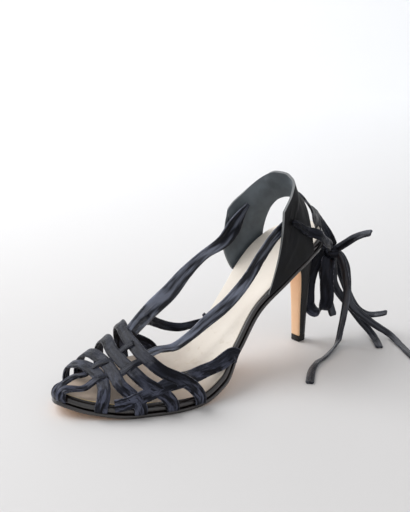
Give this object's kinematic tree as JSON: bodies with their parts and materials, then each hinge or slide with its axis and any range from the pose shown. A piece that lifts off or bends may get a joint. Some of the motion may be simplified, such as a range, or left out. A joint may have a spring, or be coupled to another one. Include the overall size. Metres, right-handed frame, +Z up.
{
  "type": "caged high heel",
  "caption": "Open-toed high-heeled shoe for the left foot: woven flat straps over the toes, bands to a cupped heel collar, and flat ties knotted behind it.",
  "frame": {"origin": "centre of the heel tip's flat underside, on the ground", "axes": "+X towards the toe, +Y to the outer side of the left foot, +Z up"},
  "size_m": [0.249, 0.1173, 0.1205],
  "materials": {
    "strap_leather": "satin, dark blue-black",
    "collar_leather": "matte black, grey-blue lining",
    "edge_leather": "satin, brown-black edge",
    "heel_leather": "satin black",
    "outsole_leather": "satin, natural tan",
    "sock_leather": "matte cream",
    "top_piece_rubber": "matte black"
  },
  "bodies": {
    "root": {"outsole": "outsole_leather", "footbed": "edge_leather", "sock": "sock_leather", "heel": "heel_leather", "breast_cover": "outsole_leather", "top_piece": "top_piece_rubber", "upper": "strap_leather", "collar": "collar_leather", "tie_wraps": "strap_leather", "tie_knot": "strap_leather", "tie_end_short": "strap_leather", "tie_end_front": "strap_leather", "tie_end_side": "strap_leather", "tie_end_long": "strap_leather", "tie_end_low": "strap_leather", "tie_end_inner": "strap_leather", "tie_loop": "strap_leather"}
  },
  "joints": []
}
